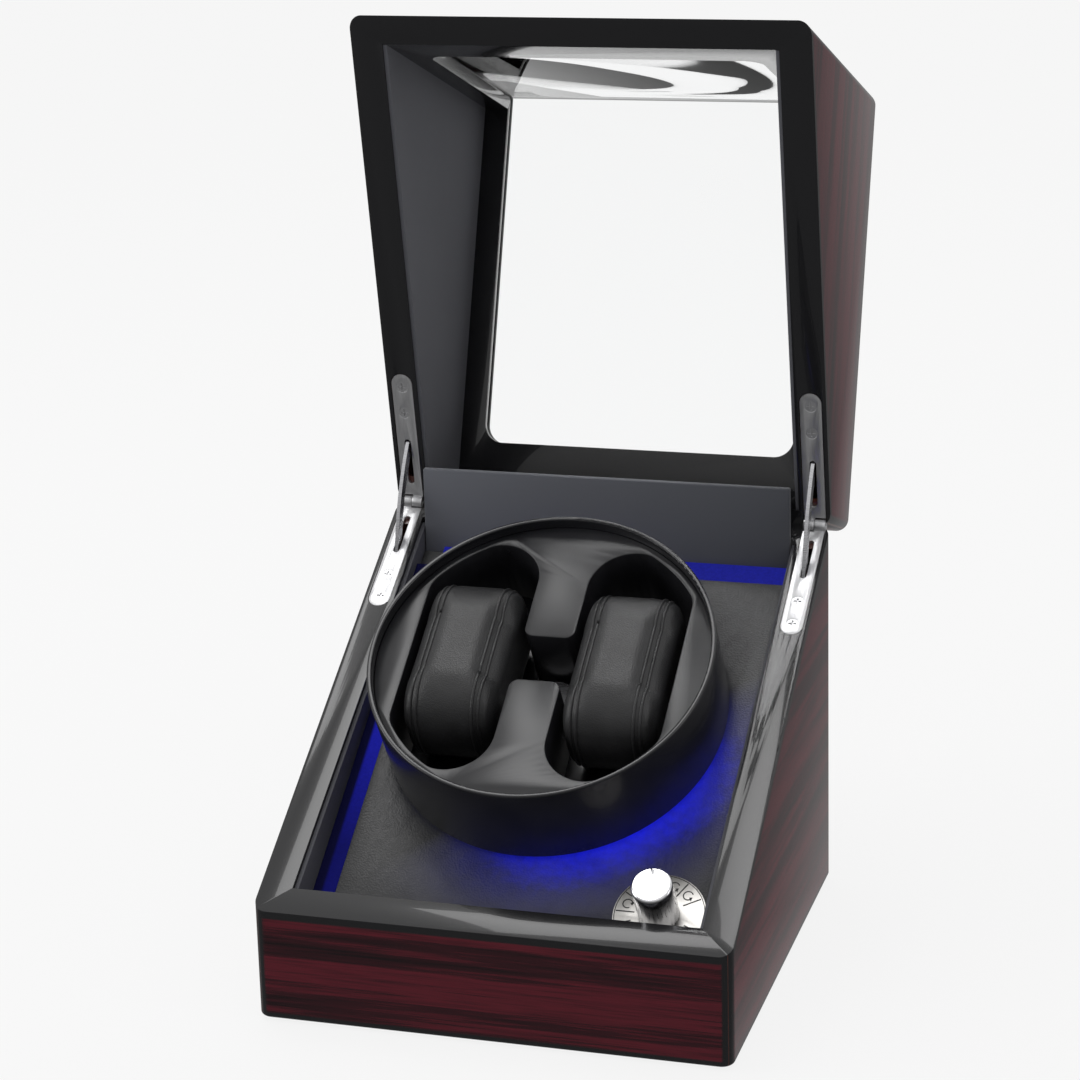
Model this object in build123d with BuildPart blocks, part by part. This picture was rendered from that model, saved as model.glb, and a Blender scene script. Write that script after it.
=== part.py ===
from build123d import *
from math import atan2, cos, degrees, pi, radians, sin
import os

os.makedirs("parts", exist_ok=True)

# Case sizes, in mm.  X right, Y to the back, Z up, z = 0 on the table.
WIDTH = 180
DEPTH = 180
CLOSED_H = 190
FRONT_RIM_H = 44
BACK_RIM_H = 148
SIDE_T = 12.5
FRONT_T = 10
BASE_BACK_T = 7
LID_BACK_T = 5.6
LID_TOP_T = 7.5
FLOOR_T = 6
FELT_T = 1.2
FELT_INSET = 4
ARRIS_R = 5
TOP_ARRIS_R = 4.5
FOOT_ARRIS_R = 1.5
RIM_GAP = 0.4
LID_ANGLE = 110
LINING_T = 1.5
BASE_LINING_DROP = 2
LID_LINING_DROP = 1

# Hinges
HINGE_X = 83.75
LEAF_W = 8.7
LEAF_T = 1.5
LEAF_SINK = 0.15
LEAF_START = 3.1
LEAF_END = 57
LEAF_SLOT_IN = 8
LEAF_SLOT_OUT = 28
LEAF_SLOT_W = 2.6
LEAF_SCREWS = (40, 51.5)
RECESS_CLEAR = 0.25
BARREL_R = 2.6
BARREL_GAP = 0.2
PIN_R = 1
RUNNING = 0.05
SCREW_HEAD_R = 2.4
SCREW_HEAD_T = 0.9
SCREW_HEAD_SINK = 0.1
SCREW_SHANK_R = 1.1
SCREW_LEN = 9
DRIVE_W = 0.7
DRIVE_DEPTH = 0.5
STAY_R_END = 25
STAY_R_MID = 15.5
STAY_ANGLES = (96, 155, 214)
STAY_W = 4.5
STAY_T = 1.4
MORTISE_W = 2.8
MORTISE_R = (11, 28.5)
BASE_MORTISE = (207, 262)
LID_MORTISE = (125, 213)

# Window
WINDOW_HALF = 66
WINDOW_BACK_Y = 61.5
WINDOW_LOW_Z = 72
WINDOW_R = 8
PANE_T = 2
PANE_LAP = 3
PANE_BEND_R = 4
PANE_DEPTH = 2.5
PANE_CLEAR = 0.1

# Deck
TILT = 33
DECK_FOOT = (0, 8.6, 90.8)
DECK_LEFT = -66.5
DECK_RIGHT = 75.8
DECK_FRONT = -103.3
DECK_BACK = 71.3
DECK_T = 5
COVER_T = 1
BATTEN_H = 12
LIP_Y = 80
LIP_HALF = 75.6
LIP_Z = (100, 165.3)
LIGHT_DROP = 1.5
RING_R = (57, 63)
RING_DEPTH = 2.5
RING_SINK = 0.3

# Rotor, measured along its own axis from the deck
DRUM_R = 66.5
DRUM_LOW = 2
DRUM_HIGH = 40.5
DRUM_WALL = 2
FACE_SINK = 4.5
FACE_T = 2
SKIRT_T = 1.5
FACE_CLEAR = 0.05
SLOT_IN = 10
SLOT_OUT = 52
SLOT_HALF = 53.5
SLOT_CIRCLE_R = 61.5
SLOT_INNER_R = 17
SLOT_OUTER_R = 11
BRIDGE_LOW = -10
BRIDGE_HIGH = 10.5
BRIDGE_R = 4
CUSHION_IN = 12.5
CUSHION_OUT = 49.5
CUSHION_LEN = 76
CUSHION_H = 42
CUSHION_ROUND = 17
CUSHION_END_R = 8
SHAFT_R = 3
SHAFT_LOW = -19
HUB_R = 9
HUB_T = 6
WASHER_R = 7
BUSH_R = 5
BUSH_TOP = 1.2
BUSH_FLANGE_R = 9
BUSH_FLANGE_T = 2

# Gears
MODULE = 0.8
GEAR_TEETH = 48
PINION_TEETH = 12
GEAR_LOW = -16
GEAR_T = 6
PINION_LOW = -16.3
PINION_T = 6.6
TOOTH_THIN = 0.12
MOTOR_X = MODULE * (GEAR_TEETH + PINION_TEETH) / 2
MOTOR_SHAFT_R = 1.5
MOTOR_R = 13
MOTOR_LEN = 32
BRACKET_TOP = -20
BRACKET_T = 2
BRACKET_X = (-26, 44)
BRACKET_HALF = 20
POST_R = 3
POST_INSET = 4
POST_SCREW_R = 1.5

# Mode knob
KNOB_X = 57.2
KNOB_T = -84.6
KNOB_R = 7.6
KNOB_LOW = 1.4
KNOB_HIGH = 20.2
KNOB_CUP_R = 6
KNOB_CUP_TOP = 3.4
SELECTOR_R = 2
SELECTOR_TOP = 16
SLEEVE_R = 3.5
SLEEVE_TOP = 3
DIAL_R = 17.2
DIAL_T = 1
POINTER_ANGLE = 105

# Power inlet and controller
JACK_X = 50
JACK_Z = 24
BOARD_X = 30
BOARD_Y = 35
BOARD_SIZE = (60, 40)
BOARD_T = 1.6
BOARD_LIFT = 6

BIG = 2 * (WIDTH + DEPTH)
HALF_W = WIDTH / 2
HALF_D = DEPTH / 2
INNER_X = HALF_W - SIDE_T
FRONT_IN = HALF_D - FRONT_T
FLOOR_TOP = FELT_T + FLOOR_T
RIM_ANGLE = degrees(atan2(BACK_RIM_H - FRONT_RIM_H, DEPTH))
SIDES = (-1, 1)


def tilted(origin, angle):
    lean = radians(angle)
    return Plane(origin=origin, x_dir=(1, 0, 0), z_dir=(0, -sin(lean), cos(lean)))


RIM = tilted((0, HALF_D, BACK_RIM_H), RIM_ANGLE)
DECK = tilted(DECK_FOOT, TILT)
OPENING = Pos(0, HALF_D, BACK_RIM_H) * Rot(-LID_ANGLE, 0, 0) * Pos(0, -HALF_D, -BACK_RIM_H)


def on_base(plane):
    return plane


def on_lid(plane):
    return Plane(OPENING * plane.location)


def around_hinge(radius, angle):
    turn = radians(angle)
    return (HALF_D + radius * cos(turn), BACK_RIM_H + radius * sin(turn))


def across(x):
    """Plane along the deck's slope at one x: local X up the slope, local Y off the deck."""
    origin = DECK.origin + DECK.x_dir * x
    return Plane(origin=origin, x_dir=DECK.y_dir, z_dir=DECK.x_dir)


def wall_plan(side_a, side_b):
    with BuildSketch() as plan:
        with BuildLine():
            Polyline(*side_a, *side_b, close=True)
        make_face()
    return plan.sketch


def save(shape, name):
    shape.label = name
    export_step(shape, f"parts/{name}.step")


# ---------------------------------------------------------------- hinge cuts
def hinge_cuts(place, face, into, mortise):
    """Solids taken out of the side panels for the leaves, barrels, stays and screws."""
    depth = into * (LEAF_T + LEAF_SINK)
    with BuildPart() as cuts:
        for side in SIDES:
            with BuildSketch(place(RIM).offset(face)):
                with Locations((side * HINGE_X, -LEAF_END / 2 + 2)):
                    Rectangle(LEAF_W + 2 * RECESS_CLEAR, LEAF_END - 4)
                with Locations((side * HINGE_X, -LEAF_END + LEAF_W / 2)):
                    Circle(LEAF_W / 2 + RECESS_CLEAR)
            extrude(amount=depth)
            with BuildSketch(place(RIM).offset(face)):
                for reach in LEAF_SCREWS:
                    with Locations((side * HINGE_X, -reach)):
                        Circle(SCREW_SHANK_R)
            extrude(amount=into * SCREW_LEN)
            with BuildSketch(place(Plane.YZ).offset(side * HINGE_X)):
                with Locations(around_hinge(0, 0)):
                    Circle(BARREL_R + 2 * RECESS_CLEAR)
            extrude(amount=LEAF_W / 2 + RECESS_CLEAR, both=True)
            with BuildSketch(place(Plane.YZ).offset(side * HINGE_X)):
                with Locations(around_hinge(0, 0)):
                    Circle(MORTISE_R[1])
                    Circle(MORTISE_R[0], mode=Mode.SUBTRACT)
                with BuildLine():
                    Polyline(
                        around_hinge(0, 0),
                        around_hinge(BIG, mortise[0]),
                        around_hinge(BIG, mortise[1]),
                        close=True,
                    )
                make_face(mode=Mode.INTERSECT)
            extrude(amount=MORTISE_W / 2, both=True)
    return cuts.part


base_cuts = hinge_cuts(on_base, 0, -1, BASE_MORTISE)
lid_cuts = hinge_cuts(on_lid, RIM_GAP, 1, LID_MORTISE)

# ---------------------------------------------------------------- base case
jack_spot = (JACK_X, JACK_Z)
JACK_NECK_R = 4
JACK_FACE = Plane(origin=(0, HALF_D, 0), x_dir=(1, 0, 0), z_dir=(0, -1, 0))

with BuildPart() as base_shell:
    with BuildSketch(Plane.XY.offset(FELT_T)):
        RectangleRounded(WIDTH, DEPTH, ARRIS_R)
    extrude(amount=CLOSED_H)
    fillet(base_shell.faces().sort_by(Axis.Z)[0].edges(), FOOT_ARRIS_R)
    with BuildSketch(Plane.XY):
        with Locations((0, (HALF_D - BASE_BACK_T - FRONT_IN) / 2)):
            Rectangle(2 * INNER_X, FRONT_IN + HALF_D - BASE_BACK_T)
    extrude(amount=BIG, mode=Mode.SUBTRACT)
    with BuildSketch(RIM):
        Rectangle(BIG, BIG)
    extrude(amount=BIG, mode=Mode.SUBTRACT)
    with BuildSketch(JACK_FACE):
        with Locations(jack_spot):
            Circle(JACK_NECK_R)
    extrude(amount=BASE_BACK_T, mode=Mode.SUBTRACT)
    add(base_cuts, mode=Mode.SUBTRACT)

lid_up = on_lid(Plane.XY).z_dir
with BuildPart() as lid_shell:
    with BuildSketch(on_lid(Plane.XY)):
        RectangleRounded(WIDTH, DEPTH, ARRIS_R)
    extrude(amount=CLOSED_H)
    fillet(lid_shell.faces().sort_by(Axis((0, 0, 0), lid_up))[-1].edges(), TOP_ARRIS_R)
    with BuildSketch(on_lid(Plane.XY)):
        with Locations((0, (HALF_D - LID_BACK_T - FRONT_IN) / 2)):
            Rectangle(2 * INNER_X, FRONT_IN + HALF_D - LID_BACK_T)
    extrude(amount=CLOSED_H - LID_TOP_T, mode=Mode.SUBTRACT)
    with BuildSketch(on_lid(RIM).offset(RIM_GAP)):
        Rectangle(BIG, BIG)
    extrude(amount=-BIG, mode=Mode.SUBTRACT)
    add(lid_cuts, mode=Mode.SUBTRACT)


def pane_section(grow):
    top = CLOSED_H - PANE_DEPTH + grow
    front = -HALF_D + PANE_DEPTH - grow
    low = WINDOW_LOW_Z - PANE_LAP - grow
    back = WINDOW_BACK_Y + PANE_LAP + grow
    thick = PANE_T + 2 * grow
    with BuildSketch() as section:
        with BuildLine():
            Polyline(
                (front, low),
                (front, top),
                (back, top),
                (back, top - thick),
                (front + thick, top - thick),
                (front + thick, low),
                close=True,
            )
        make_face()
        outer = section.vertices().sort_by(Axis((0, 0), (-1, 1)))[-1]
        fillet(outer, PANE_BEND_R + grow)
        bend = section.vertices().filter_by(lambda v: abs(v.X - front - thick) < 0.1 and v.Y > low + thick)
        fillet(bend, PANE_BEND_R - PANE_T - grow)
    return section.sketch


def pane_solid(grow):
    with BuildPart() as pane:
        with BuildSketch(on_lid(Plane.YZ)):
            add(pane_section(grow))
        extrude(amount=WINDOW_HALF + PANE_LAP + grow, both=True)
    return pane.part


with BuildPart() as window_cut:
    with BuildSketch(on_lid(Plane.XY).offset(CLOSED_H - LID_TOP_T - 1)):
        with BuildLine():
            Polyline(
                (-WINDOW_HALF, -HALF_D - 1),
                (WINDOW_HALF, -HALF_D - 1),
                (WINDOW_HALF, WINDOW_BACK_Y),
                (-WINDOW_HALF, WINDOW_BACK_Y),
                close=True,
            )
        make_face()
    extrude(amount=LID_TOP_T + 2)
    backs = window_cut.edges().filter_by(Axis((0, 0, 0), lid_up))
    fillet(backs.sort_by(Axis((0, 0, 0), on_lid(Plane.XY).y_dir))[-2:], WINDOW_R)
with BuildPart() as window_front_cut:
    with BuildSketch(on_lid(Plane(origin=(0, -HALF_D - 1, 0), x_dir=(1, 0, 0), z_dir=(0, -1, 0)))):
        with Locations((0, (WINDOW_LOW_Z + CLOSED_H + 1) / 2)):
            Rectangle(2 * WINDOW_HALF, CLOSED_H + 1 - WINDOW_LOW_Z)
    extrude(amount=-(FRONT_T + 2))
    lows = window_front_cut.edges().filter_by(Axis((0, 0, 0), on_lid(Plane.XY).y_dir))
    fillet(lows.sort_by(Axis((0, 0, 0), lid_up))[:2], WINDOW_R)

with BuildPart() as lid_frame:
    add(lid_shell.part)
    add(window_cut.part, mode=Mode.SUBTRACT)
    add(window_front_cut.part, mode=Mode.SUBTRACT)
    add(pane_solid(PANE_CLEAR), mode=Mode.SUBTRACT)

with BuildPart() as lid_pane:
    add(pane_solid(0))

# The mitred top board: a frustum from the cavity's outline to the outer one.
with BuildPart() as top_wedge:
    with BuildSketch(on_lid(Plane.XY).offset(CLOSED_H - LID_TOP_T)):
        with Locations((0, (HALF_D - LID_BACK_T - FRONT_IN) / 2)):
            Rectangle(2 * INNER_X, FRONT_IN + HALF_D - LID_BACK_T)
    with BuildSketch(on_lid(Plane.XY).offset(CLOSED_H)):
        Rectangle(WIDTH, DEPTH)
    loft()


def mitred(shell, place, plan, without):
    """One wall of a shell, cut off by its mitres in plan."""
    with BuildPart() as wall:
        add(shell)
        with BuildSketch(place(Plane.XY)):
            add(plan)
        extrude(amount=CLOSED_H, mode=Mode.INTERSECT)
        if without is not None:
            add(without, mode=Mode.SUBTRACT)
    return wall.part


def plans(back_t):
    back_in = HALF_D - back_t
    outer = ((-HALF_W, -HALF_D), (HALF_W, -HALF_D), (HALF_W, HALF_D), (-HALF_W, HALF_D))
    inner = ((-INNER_X, -FRONT_IN), (INNER_X, -FRONT_IN), (INNER_X, back_in), (-INNER_X, back_in))
    names = ("front", "right", "back", "left")
    walls = {}
    for corner, wall_name in enumerate(names):
        after = (corner + 1) % len(names)
        walls[wall_name] = wall_plan((outer[corner], outer[after]), (inner[after], inner[corner]))
    return walls


for wall_name, plan in plans(BASE_BACK_T).items():
    save(mitred(base_shell.part, on_base, plan, None), f"base_{wall_name}_panel")
for wall_name, plan in plans(LID_BACK_T).items():
    save(mitred(lid_frame.part, on_lid, plan, top_wedge.part), f"lid_{wall_name}_panel")

with BuildPart() as lid_top_panel:
    add(lid_frame.part)
    add(top_wedge.part, mode=Mode.INTERSECT)

with BuildPart() as base_felt:
    with BuildSketch(Plane.XY):
        RectangleRounded(WIDTH - 2 * FELT_INSET, DEPTH - 2 * FELT_INSET, ARRIS_R)
    extrude(amount=FELT_T)

back_in = HALF_D - BASE_BACK_T
with BuildPart() as base_floor:
    with BuildSketch(Plane.XY.offset(FELT_T)):
        with Locations((0, (back_in - FRONT_IN) / 2)):
            Rectangle(2 * INNER_X, back_in + FRONT_IN)
    extrude(amount=FLOOR_T)

# Lining boards of the base: left, right and front, one folded sheet.
with BuildPart() as base_lining:
    with BuildSketch(Plane.XY.offset(FLOOR_TOP)):
        with Locations((0, (back_in - FRONT_IN) / 2)):
            Rectangle(2 * INNER_X, back_in + FRONT_IN)
        with BuildLine():
            Polyline(
                (-INNER_X + LINING_T, BIG),
                (-INNER_X + LINING_T, -FRONT_IN + LINING_T),
                (INNER_X - LINING_T, -FRONT_IN + LINING_T),
                (INNER_X - LINING_T, BIG),
                close=True,
            )
        make_face(mode=Mode.SUBTRACT)
    extrude(amount=CLOSED_H)
    with BuildSketch(RIM.offset(-BASE_LINING_DROP)):
        Rectangle(BIG, BIG)
    extrude(amount=BIG, mode=Mode.SUBTRACT)

lid_back_in = HALF_D - LID_BACK_T
with BuildPart() as lid_lining:
    with BuildSketch(on_lid(Plane.XY)):
        for side in SIDES:
            with Locations((side * (INNER_X - LINING_T / 2), (lid_back_in - FRONT_IN) / 2)):
                Rectangle(LINING_T, lid_back_in + FRONT_IN)
    extrude(amount=CLOSED_H - LID_TOP_T)
    with BuildSketch(on_lid(RIM).offset(RIM_GAP + LID_LINING_DROP)):
        Rectangle(BIG, BIG)
    extrude(amount=-BIG, mode=Mode.SUBTRACT)

with BuildPart() as lip_board:
    with BuildSketch(Plane.XZ.offset(-LIP_Y)):
        with Locations((0, (LIP_Z[0] + LIP_Z[1]) / 2)):
            Rectangle(2 * LIP_HALF, LIP_Z[1] - LIP_Z[0])
    extrude(amount=LIP_Y - back_in)

# ---------------------------------------------------------------- hinges


def leaf_pair(plane, face, into, barrel_side, bore_r):
    """Both leaves of one half: a slotted plate, a tab and half of the knuckle."""
    barrel_len = LEAF_W / 2 - BARREL_GAP / 2
    with BuildPart() as leaves:
        for side in SIDES:
            barrel_x = side * (HINGE_X + barrel_side * (LEAF_W / 4 + BARREL_GAP / 4))
            with BuildSketch(plane.offset(face)):
                with Locations((side * HINGE_X, -(LEAF_START + LEAF_END - LEAF_W / 2) / 2)):
                    Rectangle(LEAF_W, LEAF_END - LEAF_W / 2 - LEAF_START)
                with Locations((side * HINGE_X, -LEAF_END + LEAF_W / 2)):
                    Circle(LEAF_W / 2)
                with Locations((barrel_x, -LEAF_START / 2 - 0.6)):
                    Rectangle(barrel_len, LEAF_START)
                with Locations((side * HINGE_X, -(LEAF_SLOT_IN + LEAF_SLOT_OUT) / 2)):
                    SlotOverall(LEAF_SLOT_OUT - LEAF_SLOT_IN, LEAF_SLOT_W, rotation=90, mode=Mode.SUBTRACT)
            extrude(amount=into * LEAF_T)
            with BuildSketch(Plane.YZ.offset(barrel_x)):
                with Locations(around_hinge(0, 0)):
                    Circle(BARREL_R)
            extrude(amount=barrel_len / 2, both=True)
            with BuildSketch(Plane.YZ.offset(barrel_x)):
                with Locations(around_hinge(0, 0)):
                    Circle(bore_r)
            extrude(amount=barrel_len, both=True, mode=Mode.SUBTRACT)
            with BuildSketch(plane.offset(face)):
                for reach in LEAF_SCREWS:
                    with Locations((side * HINGE_X, -reach)):
                        Circle(SCREW_HEAD_R)
            extrude(amount=into * (SCREW_HEAD_SINK + SCREW_HEAD_T), mode=Mode.SUBTRACT)
            with BuildSketch(plane.offset(face)):
                for reach in LEAF_SCREWS:
                    with Locations((side * HINGE_X, -reach)):
                        Circle(SCREW_SHANK_R)
            extrude(amount=into * LEAF_T, mode=Mode.SUBTRACT)
    return leaves.part


def screw_set(plane, spots, face, into, head_r, head_t, shank_r, length):
    """Cross-head screws as separate solids; length is counted from the face."""
    with BuildPart() as screws:
        with BuildSketch(plane.offset(face)):
            for spot in spots:
                with Locations(spot):
                    Circle(head_r)
        extrude(amount=into * head_t)
        with BuildSketch(plane.offset(face + into * head_t)):
            for spot in spots:
                with Locations(spot):
                    Circle(shank_r)
        extrude(amount=into * (length - head_t))
        with BuildSketch(plane.offset(face)):
            for spot in spots:
                with Locations(spot):
                    Rectangle(1.3 * head_r, DRIVE_W)
                    Rectangle(DRIVE_W, 1.3 * head_r)
        extrude(amount=into * DRIVE_DEPTH, mode=Mode.SUBTRACT)
    return screws.part


LID_LEAF_FACE = RIM_GAP + LEAF_SINK
hinge_spots = []
for side in SIDES:
    for reach in LEAF_SCREWS:
        hinge_spots.append((side * HINGE_X, -reach))

base_hinge_leaves = leaf_pair(RIM, -LEAF_SINK, -1, 1, PIN_R)
lid_hinge_leaves = leaf_pair(on_lid(RIM), LID_LEAF_FACE, 1, -1, PIN_R + RUNNING)
base_hinge_screws = screw_set(
    RIM, hinge_spots, -LEAF_SINK - SCREW_HEAD_SINK, -1,
    SCREW_HEAD_R, SCREW_HEAD_T, SCREW_SHANK_R, SCREW_LEN - 1,
)
lid_hinge_screws = screw_set(
    on_lid(RIM), hinge_spots, LID_LEAF_FACE + SCREW_HEAD_SINK, 1,
    SCREW_HEAD_R, SCREW_HEAD_T, SCREW_SHANK_R, SCREW_LEN - 1,
)

with BuildPart() as hinge_pins:
    for side in SIDES:
        with BuildSketch(Plane.YZ.offset(side * HINGE_X)):
            with Locations(around_hinge(0, 0)):
                Circle(PIN_R)
        extrude(amount=LEAF_W / 2 - BARREL_GAP, both=True)


def stay_arm(side):
    with BuildPart() as arm:
        with BuildSketch(Plane.YZ.offset(side * HINGE_X)):
            with BuildLine(mode=Mode.PRIVATE) as path:
                ThreePointArc(
                    around_hinge(STAY_R_END, STAY_ANGLES[0]),
                    around_hinge(STAY_R_MID, STAY_ANGLES[1]),
                    around_hinge(STAY_R_END, STAY_ANGLES[2]),
                )
            SlotArc(arc=path.edges()[0], height=STAY_W)
        extrude(amount=STAY_T / 2, both=True)
    return arm.part


# ---------------------------------------------------------------- deck
knob_spot = (KNOB_X, KNOB_T)
post_spots = []
for post_x in (BRACKET_X[0] + POST_INSET, BRACKET_X[1] - POST_INSET):
    for side in SIDES:
        post_spots.append((post_x, side * (BRACKET_HALF - POST_INSET)))
POST_SCREW_TIP = -COVER_T - 1


def deck_layer(low, high):
    with BuildPart() as layer:
        with BuildSketch(DECK.offset(low)):
            with Locations(((DECK_LEFT + DECK_RIGHT) / 2, (DECK_FRONT + DECK_BACK) / 2)):
                Rectangle(DECK_RIGHT - DECK_LEFT, DECK_BACK - DECK_FRONT)
            Circle(BUSH_R, mode=Mode.SUBTRACT)
            with Locations(knob_spot):
                Circle(SLEEVE_R, mode=Mode.SUBTRACT)
        extrude(amount=high - low)
        with BuildSketch(DECK):
            Circle(RING_R[1])
            Circle(RING_R[0], mode=Mode.SUBTRACT)
        extrude(amount=-RING_DEPTH, mode=Mode.SUBTRACT)
        with BuildSketch(DECK.offset(POST_SCREW_TIP)):
            for spot in post_spots:
                with Locations(spot):
                    Circle(POST_SCREW_R)
        extrude(amount=-DECK_T, mode=Mode.SUBTRACT)
    return layer.part


deck_board = deck_layer(-DECK_T, -COVER_T)
deck_cover = deck_layer(-COVER_T, 0)

with BuildPart() as light_ring:
    with BuildSketch(DECK.offset(-RING_DEPTH)):
        Circle(RING_R[1])
        Circle(RING_R[0], mode=Mode.SUBTRACT)
    extrude(amount=RING_DEPTH - RING_SINK)

LINED_X = INNER_X - LINING_T
BAR_CLEAR = 0.8
BAR_BACK = 81
with BuildPart() as light_bar_left:
    with BuildSketch(DECK.offset(-DECK_T)):
        with Locations(((DECK_LEFT - BAR_CLEAR - LINED_X + 0.2) / 2, (DECK_FRONT + DECK_BACK) / 2)):
            Rectangle(DECK_LEFT - BAR_CLEAR + LINED_X - 0.2, DECK_BACK - DECK_FRONT)
    extrude(amount=DECK_T - LIGHT_DROP)
with BuildPart() as light_bar_back:
    with BuildSketch(DECK.offset(-DECK_T)):
        with Locations(((DECK_LEFT + DECK_RIGHT) / 2, (DECK_BACK + BAR_CLEAR + BAR_BACK) / 2)):
            Rectangle(DECK_RIGHT - DECK_LEFT, BAR_BACK - DECK_BACK - BAR_CLEAR)
    extrude(amount=DECK_T - LIGHT_DROP)

BATTEN_LEFT_IN = -58
BATTEN_RIGHT_IN = 67
BATTEN_FRONT_IN = -96
BATTEN_BACK_IN = 62
BATTEN_BACK_LOW = 73.4
with BuildPart() as deck_battens:
    with BuildSketch(DECK.offset(-DECK_T)):
        with Locations(((BATTEN_LEFT_IN - LINED_X) / 2, (DECK_FRONT + BATTEN_BACK_IN - 1) / 2)):
            Rectangle(BATTEN_LEFT_IN + LINED_X, BATTEN_BACK_IN - 1 - DECK_FRONT)
        with Locations(((BATTEN_RIGHT_IN + LINED_X) / 2, (DECK_FRONT + BATTEN_BACK_IN - 1) / 2)):
            Rectangle(LINED_X - BATTEN_RIGHT_IN, BATTEN_BACK_IN - 1 - DECK_FRONT)
        with Locations(((BATTEN_LEFT_IN + BATTEN_RIGHT_IN) / 2, (DECK_FRONT + BATTEN_FRONT_IN) / 2)):
            Rectangle(BATTEN_RIGHT_IN - BATTEN_LEFT_IN - 1, BATTEN_FRONT_IN - DECK_FRONT)
    extrude(amount=-BATTEN_H)
    with BuildSketch(across(-LINED_X + 0.4)):
        with BuildLine():
            Polyline(
                (BATTEN_BACK_IN, -DECK_T),
                (BAR_BACK, -DECK_T),
                (BATTEN_BACK_LOW, -DECK_T - BATTEN_H),
                (BATTEN_BACK_IN, -DECK_T - BATTEN_H),
                close=True,
            )
        make_face()
    extrude(amount=2 * LINED_X - 0.8)

# ---------------------------------------------------------------- rotor


def face_outline(grow):
    """The face's opening: two long slots joined by a bridge across the middle."""
    with BuildSketch() as outline:
        for side in SIDES:
            with Locations((side * (SLOT_IN + SLOT_OUT) / 2, 0)):
                Rectangle(SLOT_OUT - SLOT_IN, 2 * SLOT_HALF)
        Circle(SLOT_CIRCLE_R, mode=Mode.INTERSECT)
        inner = outline.vertices().filter_by(lambda v: abs(abs(v.X) - SLOT_IN) < 0.1)
        fillet(inner, SLOT_INNER_R)
        edge_ends = outline.vertices().filter_by(lambda v: abs(Vector(v.X, v.Y).length - SLOT_CIRCLE_R) < 0.1)
        fillet(edge_ends, SLOT_OUTER_R)
        with Locations((0, (BRIDGE_LOW + BRIDGE_HIGH) / 2)):
            Rectangle(2 * SLOT_IN, BRIDGE_HIGH - BRIDGE_LOW)
        corners = outline.vertices().filter_by(
            lambda v: abs(abs(v.X) - SLOT_IN) < 0.1 and abs(v.Y) < 2 * BRIDGE_HIGH
        )
        fillet(corners, BRIDGE_R)
        if grow > 0:
            offset(amount=grow)
    return outline.sketch


DRUM_FLOOR = DRUM_LOW + DRUM_WALL
FACE_TOP = DRUM_HIGH - FACE_SINK
LIP_ROUND = 0.8
DRUM_FOOT_R = 1.2

with BuildPart() as rotor_shell:
    with BuildSketch(DECK.offset(DRUM_LOW)):
        Circle(DRUM_R)
    extrude(amount=DRUM_HIGH - DRUM_LOW)
    fillet(rotor_shell.faces().sort_by(Axis((0, 0, 0), DECK.z_dir))[0].edges(), DRUM_FOOT_R)
    with BuildSketch(DECK.offset(DRUM_FLOOR)):
        Circle(DRUM_R - DRUM_WALL)
    extrude(amount=DRUM_HIGH, mode=Mode.SUBTRACT)
    fillet(rotor_shell.faces().sort_by(Axis((0, 0, 0), DECK.z_dir))[-1].edges(), LIP_ROUND)
    with BuildSketch(DECK.offset(DRUM_LOW)):
        Circle(SHAFT_R)
    extrude(amount=DRUM_WALL, mode=Mode.SUBTRACT)

with BuildPart() as rotor_face:
    with BuildSketch(DECK.offset(FACE_TOP - FACE_T)):
        Circle(DRUM_R - DRUM_WALL - FACE_CLEAR)
        add(face_outline(0), mode=Mode.SUBTRACT)
    extrude(amount=FACE_T)
    with BuildSketch(DECK.offset(DRUM_FLOOR)):
        add(face_outline(SKIRT_T))
        add(face_outline(0), mode=Mode.SUBTRACT)
    extrude(amount=FACE_TOP - FACE_T - DRUM_FLOOR)

HUB_SCREW_R = 1.25
HUB_SCREW_HEAD_R = 3
HUB_SCREW_HEAD_T = 2
HUB_SCREW_LEN = 12
with BuildPart() as rotor_hub:
    with BuildSketch(DECK.offset(DRUM_FLOOR)):
        Circle(HUB_R)
        Circle(SHAFT_R, mode=Mode.SUBTRACT)
    extrude(amount=HUB_T)
with BuildPart() as rotor_shaft:
    with BuildSketch(DECK.offset(SHAFT_LOW)):
        Circle(SHAFT_R)
    extrude(amount=DRUM_FLOOR + HUB_T - SHAFT_LOW)
    with BuildSketch(DECK.offset(DRUM_FLOOR + HUB_T)):
        Circle(HUB_SCREW_R)
    extrude(amount=HUB_SCREW_HEAD_T - HUB_SCREW_LEN, mode=Mode.SUBTRACT)
hub_screw = screw_set(
    DECK, [(0, 0)], DRUM_FLOOR + HUB_T + HUB_SCREW_HEAD_T, -1,
    HUB_SCREW_HEAD_R + 0.5, HUB_SCREW_HEAD_T, HUB_SCREW_R, HUB_SCREW_LEN,
)
with BuildPart() as thrust_washer:
    with BuildSketch(DECK.offset(BUSH_TOP + RUNNING)):
        Circle(WASHER_R)
        Circle(SHAFT_R, mode=Mode.SUBTRACT)
    extrude(amount=DRUM_LOW - BUSH_TOP - RUNNING)
with BuildPart() as shaft_bush:
    with BuildSketch(DECK.offset(-DECK_T)):
        Circle(BUSH_R)
    extrude(amount=DECK_T + BUSH_TOP)
    with BuildSketch(DECK.offset(-DECK_T)):
        Circle(BUSH_FLANGE_R)
    extrude(amount=-BUSH_FLANGE_T)
    with BuildSketch(DECK.offset(-2 * DECK_T)):
        Circle(SHAFT_R + RUNNING)
    extrude(amount=4 * DECK_T, mode=Mode.SUBTRACT)


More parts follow.
